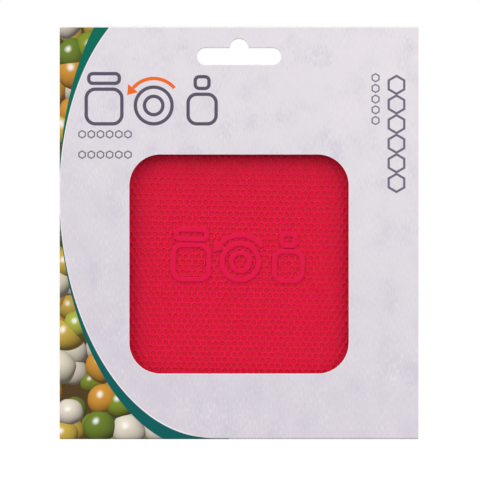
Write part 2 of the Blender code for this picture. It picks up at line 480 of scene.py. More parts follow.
# %% Lilac ground
GROUND_TOP = linear(230, 224, 230)
GROUND_LOW = linear(213, 206, 216)
GROUND_DARK = linear(196, 190, 206)
GROUND_PALE = linear(238, 232, 236)
GROUND_LEAN = 0.5  # how much of the gradient runs to the right as well as up
GROUND_SPAN = (-150.0, 25.0)
STREAK_SIZE = (0.45, 2.2)
PATCH_SIZE = (14.0, 20.0)  # patches where the streaks show more
BLOTCH_SIZE = (9.0, 12.0)
FLECK_SIZE = (0.6, 1.3)
FLECK_STRENGTH = 0.45
GROUND_SHADES = (  # colour, side of the mean, shares of blotches and streaks, contrast, and more in patches
    (GROUND_DARK, 1, 0.6, 0.4, 1.6, 1.6),
    (GROUND_PALE, -1, 0.3, 0.7, 2.0, 1.2),
)


def lilac_ground(x, z, seed):
    """The mottled ground: gradient, then streaks, blotches and a few darker flecks."""
    low, high = GROUND_SPAN
    colour = ((z + x * GROUND_LEAN - low) / (high - low)).mix(GROUND_LOW, GROUND_TOP)
    streaks = x.noise(x / STREAK_SIZE[0], z / STREAK_SIZE[1], 2.0, seed)
    blotches = x.noise(x / BLOTCH_SIZE[0], z / BLOTCH_SIZE[1], 3.0, seed + 7)
    flecks = x.noise(x / FLECK_SIZE[0], z / FLECK_SIZE[1], 1.0, seed + 13)
    patches = x.noise(x / PATCH_SIZE[0], z / PATCH_SIZE[1], 1.0, seed + 19).ramp(0.45, 0.65)
    for shade, side, broad, fine, contrast, more in GROUND_SHADES:
        beyond = (blotches * broad + streaks * fine - 0.5) * side
        colour = (beyond * (patches * more + contrast)).most(0.0).mix(colour, shade)
    return (flecks.ramp(0.66, 0.8) * blotches.ramp(0.45, 0.6) * FLECK_STRENGTH).mix(colour, GROUND_DARK)


BARE_BOARD = linear(243, 242, 243)
BARE_INSIDE = linear(236, 233, 230)
FIBRE_SHADE = linear(206, 202, 198)
FIBRE_SIZE = 0.9
FIBRE_STRENGTH = 0.35


def bare_board(x, y, z, inside):
    """Unprinted pulp board with a faint cloud of fibres: white in the cuts, and duller inside the sleeve."""
    fibres = x.noise(x / FIBRE_SIZE, (z + y) / FIBRE_SIZE, 4.0, 2.0)
    return (fibres.ramp(0.4, 0.8) * FIBRE_STRENGTH).mix(inside.mix(BARE_BOARD, BARE_INSIDE), FIBRE_SHADE)


# %% [markdown]
# ### Pictograms and rows of hexagons
#
# The card tells its use without words: a jar, a lid from above with an arrow that turns it open, and a
# bottle. Small hexagons, as on the pad, run in two short rows under them and in two columns down the right
# side. Each mark is given by its distance: the length from a place to the nearest ink, below zero inside it.
# Distances join by taking the least, and a stroke is what lies within half its width of an outline.

# %% Pictograms and hexagons
SLATE = linear(90, 83, 100)
SLATE_THIN = linear(112, 104, 122)
ACCENT = linear(238, 106, 34)
INK_SOFT = 0.09
PRINT_PLACE = (-33.5, -23.3)
PRINT_STROKE = 1.35
OUTLINES = (  # centre across and up, width, height and corner radius
    (-19.5, -3.4, 14.0, 13.6, 3.6), (-19.5, 7.6, 12.0, 3.8, 1.6),  # a jar and its lid
    (0.0, -3.0, 14.4, 14.4, 7.2), (0.0, -3.0, 7.2, 7.2, 3.6),  # a lid from above
    (19.0, -4.4, 11.0, 11.6, 3.4), (19.0, 6.0, 5.4, 4.6, 1.6),  # a bottle and its cap
)
ARROW_CENTRE = (0.0, -3.0)
ARROW_RADIUS = 10.6
ARROW_HALF = 50  # degrees to each side of straight up
ARROW_HEAD = (3.6, 2.5)  # length and half width
HEXAGON_ROWS = (  # upright or not, first place along, place beside, pitch, count, size and stroke
    (False, -61.6, -37.6, 3.6, 6, 2.5, 0.5),
    (False, -61.6, -45.6, 3.6, 6, 2.5, 0.5),
    (True, -18.2, 61.8, 7.7, 6, 6.1, 0.9),
    (True, -15.4, 53.6, 4.2, 5, 2.7, 0.5),
)


def outline_distance(x, z, box):
    """Distance to a rounded box's outline, from how far the place lies beyond the corners' centres."""
    across, up, width, height, radius = box
    right = abs(x - across) - (width / 2 - radius)
    above = abs(z - up) - (height / 2 - radius)
    corner = (right.most(0.0) ** 2 + above.most(0.0) ** 2).root()
    return abs(corner + right.most(above).least(0.0) - radius)


def arrow_distance(x, z, stroke):
    """Distance to a bent arrow: a ring cut off by two slanting lines, with a triangle at its left end."""
    right, above = x - ARROW_CENTRE[0], z - ARROW_CENTRE[1]
    half = math.radians(ARROW_HALF)
    ring = abs((right * right + above * above).root() - ARROW_RADIUS) - stroke / 2
    cut = abs(right) * math.cos(half) - above * math.sin(half)
    length, wide = ARROW_HEAD
    across, up = -math.sin(half), math.cos(half)  # from the ring's centre to the head, which points across it
    beside = right * across + above * up - ARROW_RADIUS
    ahead = above * across - right * up
    slope = (ahead * wide + abs(beside) * length - length * wide) / math.hypot(length, wide)
    return ring.most(cut).least(slope.most(0.0 - ahead))


def hexagon_distance(x, z, row):
    """Distance to the outline of the nearest hexagon of a row, by the place's rounded number of pitches."""
    upright, first, place, pitch, count, size, stroke = row
    along, beside = (z * -1.0, x) if upright else (x, z)
    start = -first if upright else first
    step = ((along - start) / pitch).round().most(0.0).least(count - 1.0)
    long, wide = abs(along - start - step * pitch), abs(beside - place)
    across, up = (wide, long) if upright else (long, wide)
    return abs(across.most(across * 0.5 + up * (math.sqrt(3) / 2)) - size / 2) - stroke / 2


def inked(distance):
    """One inside the ink and zero outside."""
    return (0.0 - distance).ramp(-INK_SOFT, INK_SOFT)


def pictograms(x, z, colour):
    """The ground's colour with the marks printed over it."""
    right, above = x - PRINT_PLACE[0], z - PRINT_PLACE[1]
    lines = outline_distance(right, above, OUTLINES[0])
    for box in OUTLINES[1:]:
        lines = lines.least(outline_distance(right, above, box))
    colour = inked(lines - PRINT_STROKE / 2).mix(colour, SLATE)
    colour = inked(arrow_distance(right, above, PRINT_STROKE)).mix(colour, ACCENT)
    rows = hexagon_distance(x, z, HEXAGON_ROWS[0])
    for row in HEXAGON_ROWS[1:]:
        rows = rows.least(hexagon_distance(x, z, row))
    return inked(rows).mix(colour, SLATE_THIN)


# %% [markdown]
# ### Green band and pebble corner
#
# The band lies between two ovals that are a little turned, so it is widest at its ends. Its inner side has a
# pale key line. Beyond it the corners are filled with pebbles in olive greens, creams and orange-browns: one
# pebble in each Voronoi cell, in two layers, shaded as if lit from the upper left.

# %% Band and pebbles
BAND_INNER = (-15.2, -67.6, 55.1, 89.2, 4.2)  # centre X and Z, half width, half height, turn in degrees
BAND_OUTER = (-14.7, -62.6, 56.0, 99.0, 1.3)
BAND_END = -4.0
BAND_TAPER = (-15.2, 0.00075)  # where the band's last stretch starts to thin out, and how fast
BAND_GREEN = linear(0, 103, 86)
BAND_TEAL = linear(6, 90, 89)
TEAL_DEPTHS = (50.0, 140.0)  # below the slot, from where and until where the green turns to teal
BAND_SOFT = 0.0012
KEYLINE = 0.008
KEYLINE_FADE = 6.0
PEBBLE_LAYERS = ((9.2, 5.3, 0.8), (11.5, 2.1, 1.0))  # size, seed and how much it covers, from below
PEBBLE_WOBBLE = (0.35, 0.3)  # how far the noise moves a place, across and up, in cells
PEBBLE_RADII = (0.46, 0.14)  # the least, and what chance adds, in cells
PEBBLE_LIGHT = (-0.25, 0.45, 0.75)  # where the light comes from: across, up and out
PEBBLE_GLINT = (-0.2, 0.3, 9.0)  # the glint's place across and up on the pebble, and how tight it is
GLINT_STRENGTH = 0.85
GLINT_WHITE = linear(255, 253, 246)
PEBBLE_SHADOW = linear(30, 22, 12)
PEBBLE_GAP = linear(78, 58, 30)
PEBBLE_STOPS = (
    (0.00, (232, 222, 200)), (0.18, (134, 152, 44)), (0.32, (208, 176, 74)), (0.46, (234, 224, 206)),
    (0.62, (112, 134, 46)), (0.74, (214, 152, 58)), (0.86, (176, 184, 72)), (0.94, (222, 104, 42)),
)


def ellipse(x, z, oval):
    """How far a place is from an oval's centre, as a share of the way to its edge, for its left half."""
    across, up, wide, high, turn = oval
    cosine, sine = math.cos(math.radians(turn)), math.sin(math.radians(turn))
    along = ((x - across) * cosine + (z - up) * sine).least(0.0) / wide
    height = ((z - up) * cosine - (x - across) * sine) / high
    return (along * along + height * height).root()


def pebble_layer(x, z, size, seed):
    """Colour and mask of round pebbles, one in each Voronoi cell, shaded as balls lit from the upper left."""
    wobble = x.noise(x / size, z / size, 1.0, seed)
    across = x / size + wobble * PEBBLE_WOBBLE[0] + seed
    up = z / size - wobble * PEBBLE_WOBBLE[1]
    cells = x.node("ShaderNodeTexVoronoi", {"voronoi_dimensions": "2D"},
                   {"Vector": x.vector(across, up), "Scale": 1.0, "Randomness": 0.8})
    chance = x.node("ShaderNodeSeparateColor", inputs={0: cells.out("Color")})
    middle = x.node("ShaderNodeSeparateXYZ", inputs={0: cells.out("Position")})
    radius = chance.out(1) * PEBBLE_RADII[1] + PEBBLE_RADII[0]
    right = (across - middle.out(0)) / radius
    rise = (up - middle.out(1)) / radius
    height = (1.0 - right * right - rise * rise).most(0.0).root()
    light = (right * PEBBLE_LIGHT[0] + rise * PEBBLE_LIGHT[1] + height * PEBBLE_LIGHT[2]).most(0.0)
    beside, above, tight = PEBBLE_GLINT
    glint = (1.0 - ((right - beside) ** 2 + (rise - above) ** 2) * tight).most(0.0)
    stops = x.node("ShaderNodeValToRGB", inputs={0: chance.out(0)})
    colours = stops.socket.node.color_ramp
    colours.interpolation = "CONSTANT"
    for position, colour in PEBBLE_STOPS[2:]:
        colours.elements.new(position).color = linear(*colour)
    for element, (position, colour) in zip(colours.elements, PEBBLE_STOPS):
        element.position = position
        element.color = linear(*colour)
    skin = (light * 0.95 + 0.12).least(1.0).mix(PEBBLE_SHADOW, stops)
    skin = (glint * glint * GLINT_STRENGTH).mix(skin, GLINT_WHITE)
    return skin, height.ramp(0.0, 0.25)


def front_print(x, z):
    """The printed front: ground, then the band's pale key line, the band, and pebbles beyond it."""
    start, slope = BAND_TAPER
    inner, outer = ellipse(x, z, BAND_INNER) - (x - start).most(0.0) * slope, ellipse(x, z, BAND_OUTER)
    left = x < BAND_END
    colour = pictograms(x, z, lilac_ground(x, z, 0.0))
    pale = inner.ramp(1 - KEYLINE, 1 - KEYLINE / 2) * (start - x).ramp(0.0, KEYLINE_FADE)
    colour = pale.mix(colour, GROUND_PALE)
    band = (0.0 - z).ramp(*TEAL_DEPTHS).mix(BAND_GREEN, BAND_TEAL)
    colour = (inner.ramp(1 - BAND_SOFT, 1 + BAND_SOFT) * left).mix(colour, band)
    pebbles = PEBBLE_GAP
    for size, seed, cover in PEBBLE_LAYERS:
        skin, mask = pebble_layer(x, z, size, seed)
        pebbles = (mask * cover).mix(pebbles, skin)
    return (outer.ramp(1 - BAND_SOFT, 1 + BAND_SOFT) * left).mix(colour, pebbles)


# %% [markdown]
# ### Print, cut and inside in one finish
#
# The sleeve is printed on one face only. The ink value that each point carries tells the finish where it is:
# the print ends raggedly in the cut, where the white pulp shows, and the inside is duller. One finish for the
# front has the band and the marks, and one for the other panels has the plain ground.

# %% Board finishes
BOARD_SHEEN = 0.12
BOARD_ROUGHNESS = (0.72, 0.56)  # bare and printed
RAGGED_SIZE = 0.35
RAGGED_DEPTH = 0.35  # how far the ink's end strays, in the ink's own value
PULP_SIZE = 0.22
PULP_HEIGHT = 0.02


def board_finish(name, paint):
    """Matte board with a print on the face where the ink is left, and bare pulp in the cuts and inside."""
    finish, shader, (x, y, z) = new_finish(name, **{"Specular IOR Level": BOARD_SHEEN})
    ink = x.node("ShaderNodeAttribute", {"attribute_name": "ink"}, output="Fac")
    ragged = x.noise(x / RAGGED_SIZE, z / RAGGED_SIZE, 2.0, 3.0)
    left = (ink + (ragged - 0.5) * RAGGED_DEPTH).ramp(0.55, 0.8)
    inside = (0.0 - ink).ramp(0.3, 0.9)
    connect(left.mix(bare_board(x, y, z, inside), paint(x, z)), shader, "Base Color")
    bare, printed = BOARD_ROUGHNESS
    connect(bare - left * (bare - printed), shader, "Roughness")
    pulp = x.noise(x / PULP_SIZE, (z + y) / PULP_SIZE, 3.0, 9.0)
    connect(pulp.bump(0.12, PULP_HEIGHT), shader, "Normal")
    return finish


front_finish = board_finish("printed_front", front_print)
plain_finish = board_finish("printed_plain", lambda x, z: lilac_ground(x, z, 21.0))
print("finishes:", front_finish.name, plain_finish.name)

# %% [markdown]
# ## The front with its window, and the header behind it
#
# The window is nearly a square, with round corners. The slot is the kind that takes a round or a flat hook: a
# long hole with round ends and a hump in the middle of its upper edge. Two rings share the front: one round
# the window and one round the slot, with the same number of steps along the side where they meet.

# %% Front board
WINDOW = (86.2, 86.1, 12.2)
WINDOW_FLOOR = 25.8
SLOT_WIDE, SLOT_HIGH, SLOT_TOP = 33.0, 6.6, -3.6
HUMP_HALF, HUMP_RISE = 3.65, 3.6
RING_SPLIT = -16.0


def hang_slot():
    """The slot's loop: round ends, a straight lower edge, and a half ellipse in the upper one."""
    radius = SLOT_HIGH / 2
    across, middle = SLOT_WIDE / 2 - radius, SLOT_TOP - radius
    right, left, radii = (across, middle), (-across, middle), (radius, radius)
    hump = arc((0, SLOT_TOP), (HUMP_HALF, HUMP_RISE), 0, 180, 2 * HALF_ARC)
    return np.vstack([
        arc(right, radii, -45, 45, 2 * HALF_ARC), arc(right, radii, 45, 90, HALF_ARC)[1:], hump,
        arc(left, radii, 90, 135, HALF_ARC), arc(left, radii, 135, 225, 2 * HALF_ARC)[1:],
        arc(left, radii, 225, 270, HALF_ARC)[1:], arc(right, radii, 270, 315, HALF_ARC)[:-1],
    ])


ACROSS = 2 * HALF_ARC + 1
SLOT_STEPS = (2 * HALF_ARC, 4 * HALF_ARC + 2, 2 * HALF_ARC, ACROSS)
window_low = FOLD["front_crease"][1] - BOARD / 2 + WINDOW_FLOOR
window = rounded_rectangle((0, window_low + WINDOW[1] / 2), *WINDOW)
slot = hang_slot()
inner_half = HALF_WIDTH - OUTER_INSET
low_sides = sides(inner_half, front_low[2], RING_SPLIT, (ACROSS,) * 4)
high_sides = sides(inner_half, RING_SPLIT, front_high[2] - OUTER_INSET, SLOT_STEPS)
front_path = np.vstack([
    low_sides[0][:-1], high_sides[0][:-1], high_sides[1][:-1], high_sides[2][:-1], low_sides[2],
])
front_board = cut_panel(
    "front_board",
    [(window, loop_of(low_sides), WINDOW_LIP), (slot, loop_of(high_sides), SLOT_LIP)],
    front_path,
    (FOLD["front_crease"][0], 0),
    (0, -1),
    front_finish,
)
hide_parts("front_panel")
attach(front_board, "front")

# %% [markdown]
# ## The header's second layer
#
# Behind the slot the board comes up a second time, and the two layers together carry the pack's weight. This
# layer has the same slot and stands a little above the front one, so its edge shows as a second line at the
# top.

# %% Header board
header_sides = sides(inner_half, header_low[2], header_high[2] - OUTER_INSET, SLOT_STEPS)
header_path = np.vstack([header_sides[0][:-1], header_sides[1][:-1], header_sides[2]])
header_board = cut_panel(
    "header_board",
    [(slot, loop_of(header_sides), SLOT_LIP)],
    header_path,
    (FOLD["header_crease"][0], 0),
    (0, 1),
    plain_finish,
)
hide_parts("back_header")
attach(header_board, "header")

# %% [markdown]
# ## Plain panels
#
# The other panels have no holes, so each is the board's cross-section carried along its stretch. A box would
# do as well from afar, but the section keeps the soft lip of the cut edges, so the panels' sides match the
# front's.

# %% Carry the board's section along the strip
def board_section():
    """The section as a loop of (across, depth, ink): printed face, right cut, inner face, left cut."""
    profile = edge_profile(OUTER_LIP, BOARD, BACK_LIP)
    across = inner_half + profile[:, 0] * (HALF_WIDTH - inner_half)
    right = np.column_stack([across, profile[:, 1:]])
    left = right[::-1] * (-1, 1, 1)
    return np.vstack([right, left])


def sweep(name, places, directions, finish):
    """Carries the section past places in Y and Z, with out a quarter turn clockwise from each direction."""
    across, depth, ink = board_section().T
    out = np.column_stack([directions[:, 1], -directions[:, 0]])
    side = places[:, None] + (BOARD / 2 - depth)[None, :, None] * out[:, None]
    wide = np.broadcast_to(across, side.shape[:2])[..., None]
    points = np.concatenate([wide, side], -1)
    return board_piece(name, [(points, np.broadcast_to(ink, side.shape[:2]), True)], finish)


def straight(name, start_fold, end_fold, finish):
    """A plain panel between two folds, stopping short of each."""
    along = end_fold - start_fold
    along = along / np.linalg.norm(along)
    places = np.array([start_fold + TRIM * along, end_fold - TRIM * along])
    return sweep(name, places, np.array([along, along]), finish)


turns = [FOLD[name] for name in ("front_crease", "back_crease", "shoulder_crease", "header_crease")]
for name, node, body, first, second in (
    ("gusset_board", "bottom_gusset", "gusset", turns[0], turns[1]),
    ("back_board", "back_panel", "back", turns[1], turns[2]),
    ("shoulder_board", "shoulder_panel", "shoulder", turns[2], turns[3]),
):
    panel = straight(name, first, second, plain_finish)
    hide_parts(node)
    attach(panel, body)

# %% [markdown]
# ## Creases
#
# On the real board each crease is scored first, and the board bends there. The panels stop just short of the
# fold line, and a crease piece fills the gap: the same cross-section, carried round an arc, so the printed
# surface runs on across the fold.

# %% Creases
CREASE_STEPS = 12


def crease(name, fold, before, after, finish):
    """A bend with both ends TRIM from the fold line: its radius is TRIM over the half turn's tangent."""
    turn = math.atan2(before[0] * after[1] - before[1] * after[0], float(np.dot(before, after)))
    radius = TRIM / math.tan(turn / 2)
    angle = np.linspace(0, turn, CREASE_STEPS + 1)[:, None]
    before = np.asarray(before)
    left = np.array([-before[1], before[0]])
    directions = before * np.cos(angle) + left * np.sin(angle)
    lefts = left * np.cos(angle) - before * np.sin(angle)
    places = fold - TRIM * before + radius * left - radius * lefts
    piece = sweep(name, places, directions, finish)
    reach = places[-1] - places[0]
    skew = BOARD / 2 * abs(math.sin(turn / 2)) / np.linalg.norm(reach)
    start, end = places[0] + skew * reach, places[-1] - skew * reach
    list(start * MM)
    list(end * MM)
    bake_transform(piece)
    return piece


slope = (turns[3] - turns[2]) / np.linalg.norm(turns[3] - turns[2])
for name, fold, before, after, bodies, finish in (
    ("front_fold", turns[0], (0, -1), (1, 0), ("front", "gusset"), front_finish),
    ("back_fold", turns[1], (1, 0), (0, 1), ("gusset", "back"), plain_finish),
    ("shoulder_fold", turns[2], (0, 1), tuple(slope), ("back", "shoulder"), plain_finish),
    ("header_fold", turns[3], tuple(slope), (0, 1), ("shoulder", "header"), plain_finish),
):
    crease(name, fold, before, after, finish)

# %% [markdown]
# ## The honeycomb
#
# The pad is one moulding, with small sunken cells on both faces that grip a wet lid. A bump map would fake
# them, but they are real hollows, half a millimetre deep, and throw real shadows. Each cell is a few rings of
# six points: the ridge that it shares with its neighbours, the shoulder of the hollow and its floor. The
# ridge points are numbered by whole steps of the lattice, so neighbours share them exactly.

# %% Honeycomb lattice
PAD_SIDE, PAD_RADIUS, PAD_TURN = 135.0, 10.0, 0.9
PAD_EDGE = 0.6
EMBLEM_RISE = 0.16
CELL_PITCH = 2.47
BORDER = 1.3
FRONT_RINGS = ((0.86, 0.02), (0.76, 0.46))  # share of the cell's size, and depth below the ridge
BACK_RINGS = ((0.78, 0.45),)
FLOOR_SWELL = 0.1
CORNERS = np.array([(0, 2), (-1, 1), (-1, -1), (0, -2), (1, -1), (1, 1)])


def inside(points, margin):
    """True where a point is at least margin inside the pad's round-cornered square."""
    beyond = np.abs(points) - (PAD_SIDE / 2 - PAD_RADIUS)
    outer = np.linalg.norm(np.maximum(beyond, 0), axis=-1)
    return outer + np.minimum(beyond.max(-1), 0) - PAD_RADIUS < -margin


def honeycomb(rings):
    """Cells as (across, up, depth) points and faces.

    A cell's centre and corners are whole numbers of half pitches across and of half corner radii up. A ring
    is the corners drawn in towards the centre by its share, at its depth.
    """
    step = np.array([CELL_PITCH / 2, CELL_PITCH / math.sqrt(3) / 2])
    count = int(PAD_SIDE / CELL_PITCH)
    column, row = np.meshgrid(np.arange(-count, count + 1), np.arange(-count, count + 1))
    centre = np.column_stack([(2 * column + row % 2).ravel(), 3 * row.ravel()])
    corners = centre[:, None] + CORNERS
    keep = inside(corners * step, BORDER).all(1)
    centre, corners = centre[keep], corners[keep]
    shared, index = np.unique(corners.reshape(-1, 2), axis=0, return_inverse=True)
    loops = [index.reshape(-1, 6)]
    points = [np.column_stack([shared * step, np.zeros(len(shared))])]
    total = len(shared)
    for share, depth in rings:
        ring = ((centre[:, None] + share * (corners - centre[:, None])) * step).reshape(-1, 2)
        points.append(np.column_stack([ring, np.full(len(ring), depth)]))
        loops.append(total + np.arange(len(ring)).reshape(-1, 6))
        total += len(ring)
    points.append(np.column_stack([centre * step, np.full(len(centre), rings[-1][1] - FLOOR_SWELL)]))
    middle = total + np.arange(len(centre))
    quads = [
        np.stack([outer, np.roll(outer, -1, 1), np.roll(inner, -1, 1), inner], -1).reshape(-1, 4)
        for outer, inner in zip(loops[:-1], loops[1:])
    ]
    last = loops[-1]
    fan = np.stack([last, np.roll(last, -1, 1), np.repeat(middle[:, None], 6, 1)], -1).reshape(-1, 3)
    return np.vstack(points), [*quads, fan], len(centre)


# %% [markdown]
# ### Red silicone
#
# Silicone lets light in a little way and out again beside, which softens the shadows of so small a relief,
# and its thin ridges glow pinker than the hollows. Subsurface scattering gives the first. The second is
# painted
# light: a colour that follows the depth below the pad's face, a painted glow on the ridges and painted shade
# in the hollows, darkest at the foot of their walls. The raised marks are smooth and their shells overlap,
# which scattering can't look through, so their finish goes without it.

# %% Silicone finish
# One red rubber throughout: the ridges' pinker red is a painted glow, and the hollow and foot reds are
# painted shade.
RIDGE_GLOW_RED = linear(239, 0, 83)
MARK_RED = linear(220, 0, 65)
HOLLOW_SHADE_AND_CLOUD_RED = linear(220, 24, 56)
FOOT_SHADE_RED = linear(217, 24, 52)
SEEP = 1.5  # how far light spreads inside the rubber
SATIN = (0.44, 0.16)  # least roughness, and what the grain adds
GRAIN_SIZE = 0.15
GRAIN_HEIGHT = 0.01
CLOUD_SIZE = 20.0
CLOUD_STRENGTH = 0.2


def silicone_finish(name, top_red, seeping, ridge_front, ridge_back):
    """Satin silicone, with a painted glow on the ridges and painted shade in the hollows, darkest at the
    feet.
    """
    finish, shader, (x, y, z) = new_finish(name, **{
        "Specular IOR Level": 0.2,
        "Subsurface Weight": seeping,
        "Subsurface Radius": (1.0, 0.3, 0.4),
        "Subsurface Scale": SEEP * MM,
    })
    sunk = (y - ridge_front).least(ridge_back - y)
    (_, brim), (_, foot) = FRONT_RINGS
    # Painted shade and glow by depth below the face: darker down the hollows, darkest at their feet, pinker
    # on the ridges.
    hollow = sunk.ramp(foot - FLOOR_SWELL, foot).mix(HOLLOW_SHADE_AND_CLOUD_RED, FOOT_SHADE_RED)
    colour = sunk.ramp(brim, foot - FLOOR_SWELL).mix(top_red, hollow)
    # Broad clouds of tone that differs at random, darkened toward the same red as the painted hollow shade.
    cloud = x.noise(x / CLOUD_SIZE, z / CLOUD_SIZE, 3.0, 4.0)
    connect((cloud.ramp(0.4, 0.8) * CLOUD_STRENGTH).mix(colour, HOLLOW_SHADE_AND_CLOUD_RED), shader, "Base Color")
    grain = x.noise(x / GRAIN_SIZE, (z + y) / GRAIN_SIZE, 2.0, 6.0)
    connect(SATIN[0] + grain * SATIN[1], shader, "Roughness")
    connect(grain.bump(0.1, GRAIN_HEIGHT), shader, "Normal")
    return finish


pad_low, pad_high = frame_box("grip_pad")
pad_centre = (pad_low + pad_high) / 2
pad_face = pad_low[1]
pad_back = pad_high[1]
silicone = silicone_finish("red_silicone", RIDGE_GLOW_RED, 0.8, pad_face, pad_back)
mark_silicone = silicone_finish("red_silicone_marks", MARK_RED, 0.0, pad_face, pad_back)


# %% [markdown]
# ## The pad's moulding
#
# The pad is a square with round corners and a rounded rim. It has settled a little askew in its sleeve, so
# its points are turned before they are placed. The lattice stops short of the rim, and a flat border is
# filled between its ragged edge and the rim.

# %% Pad moulding
def turn_pad(points):
    """Turns (across, up) points clockwise about the pad's centre, as it has settled, and moves them there."""
    angle = math.radians(PAD_TURN)
    across = points[..., 0] * math.cos(angle) + points[..., 1] * math.sin(angle)
    up = points[..., 1] * math.cos(angle) - points[..., 0] * math.sin(angle)
    return across + pad_centre[0], up + pad_centre[2]


def pad_surface(points, front):
    """Places (across, up, depth) points on the pad's front or back face."""
    across, up = turn_pad(points)
    level = pad_face + points[..., 2] if front else pad_back - points[..., 2]
    return np.stack([across, level, up], -1)


def pad_edge():
    """The rim as a grid: a quarter circle, the wall and a quarter circle, carried round the outline."""
    outline = rounded_rectangle((0, 0), PAD_SIDE, PAD_SIDE, PAD_RADIUS)
    inset = offset(outline, -PAD_EDGE, closed=True)
    angle = np.linspace(0, math.pi / 2, LIP_STEPS + 1)
    share = np.concatenate([np.sin(angle), np.cos(angle)])[:, None, None]
    thickness = pad_back - pad_face
    depth = np.concatenate([PAD_EDGE * (1 - np.cos(angle)), thickness - PAD_EDGE * (1 - np.sin(angle))])
    flat = inset + share * (outline - inset)
    level = np.broadcast_to(depth[:, None, None], (*flat.shape[:2], 1))
    return pad_surface(np.concatenate([flat, level], -1), front=True)


def make_pad():
    """Front and back honeycomb, the rim, and a flat border filled between each lattice and the rim."""
    edge = pad_edge()
    groups, points, total = [grid_faces(*edge.shape[:2], True, 0)], [edge.reshape(-1, 3)], edge[..., 0].size
    for rings, front in ((FRONT_RINGS, True), (BACK_RINGS, False)):
        relief, faces, cells = honeycomb(rings)
        points.append(pad_surface(relief, front))
        groups += [face + total for face in faces]
        total += len(relief)
        print("honeycomb", "front" if front else "back", cells, "cells")
    mesh = new_mesh("grip_pad_moulding", np.vstack(points) / MM, groups)  # filled in millimetres, then shrunk
    shape = bmesh.new()
    shape.from_mesh(mesh)
    for level in (pad_face, pad_back):
        rim = [
            edge for edge in shape.edges
            if edge.is_boundary and all(abs(vert.co.y - level) < WELD for vert in edge.verts)
        ]
        bmesh.ops.triangle_fill(shape, edges=rim, use_beauty=True)
    finish_mesh(shape, mesh)
    mesh.transform(Matrix.Scale(MM, 4))
    return add_piece("grip_pad_moulding", mesh, silicone)


pad = make_pad()
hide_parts("grip_pad")
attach(pad, "pad")

# %% [markdown]
# ## Raised marks on the pad
#
# The mould leaves the card's pictograms standing on the pad as smooth raised strokes. A stroke is half a cut
# edge's profile carried round it: from its middle line over a rounded shoulder and down into the pad, deeper
# than the hollows, so that no gap shows where it crosses them.

# %% Raised strokes
EMBLEM_PLACE = (0.5, 3.4)
EMBLEM_STROKE = 2.0
EMBLEM_DEPTH = 0.8
EMBLEM_LIP = (EMBLEM_STROKE / 4, 0.1)
HEAD_ROUND = 0.35
SHAFT_DROP = 0.03  # the shaft runs into the head a little below its top


def ring_strokes(box):
    """Edges and middle lines of a closed stroke: its outer and its inner half."""
    path = rounded_rectangle(box[:2], *box[2:])
    path = path[np.linalg.norm(np.roll(path, -1, 0) - path, axis=1) > WELD]  # a circle has no straight sides
    return [(offset(path, side * EMBLEM_STROKE / 2, closed=True), path) for side in (1, -1)]


def arrow_strokes():
    """The arrow's bent shaft with round ends, and its head, each as an edge and a middle line."""
    left, right, half = 90 + ARROW_HALF, 90 - ARROW_HALF, EMBLEM_STROKE / 2

    def bend(radius, start, end):
        return arc(ARROW_CENTRE, (radius, radius), start, end, 4 * HALF_ARC)

    def cap(centre, start):
        return arc(centre, (half, half), start, start + 180, 2 * HALF_ARC)[1:-1]

    middle = bend(ARROW_RADIUS, right, left)
    tail, tip = middle[0], middle[-1]
    edge = np.vstack([
        bend(ARROW_RADIUS + half, right, left), cap(tip, left),
        bend(ARROW_RADIUS - half, left, right), cap(tail, right - 180),
    ])
    caps = [np.repeat(end[None], 2 * HALF_ARC - 1, 0) for end in (tip, tail)]
    shaft = (edge, np.vstack([middle, caps[0], middle[::-1], caps[1]]))
    length, wide = ARROW_HEAD
    out = (tip - ARROW_CENTRE) / ARROW_RADIUS
    ahead = np.array([-out[1], out[0]])
    tips = np.array([tip + length * ahead, tip - wide * out, tip + wide * out])
    turns = [math.degrees(math.atan2(*(tips[at] - tips.mean(0))[::-1])) for at in range(3)]
    radii = (HEAD_ROUND, HEAD_ROUND)
    head = np.vstack([arc(at, radii, turn - 60, turn + 60, HALF_ARC) for at, turn in zip(tips, turns)])
    return [shaft, (head, np.repeat(tips.mean(0)[None], len(head), 0))]


def make_emblem():
    """All strokes as closed shells in one mesh, turned and placed with the pad."""
    profile = edge_profile(EMBLEM_LIP, EMBLEM_DEPTH, BACK_LIP)
    grids, total, points = [], 0, []
    shaft, head = arrow_strokes()
    strokes = [(*stroke, 0.0) for box in OUTLINES for stroke in ring_strokes(box)]
    for edge, middle, drop in [*strokes, (*shaft, SHAFT_DROP), (*head, 0.0)]:
        flat, depth, _ = carry(edge, middle, profile)
        raised = np.concatenate([flat + EMBLEM_PLACE, depth[..., None] + drop - EMBLEM_RISE], -1)
        grids.append(grid_faces(*flat.shape[:2], True, total))
        points.append(pad_surface(raised, front=True).reshape(-1, 3))
        total += len(points[-1])
    mesh = new_mesh("pad_emblem", np.vstack(points), grids)
    close_mesh(mesh, fill_loops=False)
    return add_piece("pad_emblem", mesh, mark_silicone)


emblem = make_emblem()
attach(emblem, "pad")

# %% [markdown]
# ## Glue in the header
#
# Two strips of clear glue hold the header's layers together. They show only when the header is peeled back.
# The model's own solids have the right shape, so they keep it and take a finish of dried glue.

# %% Glue finish
GLUE_PALE = linear(240, 234, 214)
GLUE_DARK = linear(222, 208, 170)
PULL_SIZE = (0.8, 2.5)  # threads across and along, as the two layers pulled them
PULL_HEIGHT = 0.05
BUBBLE_SIZE = 0.5

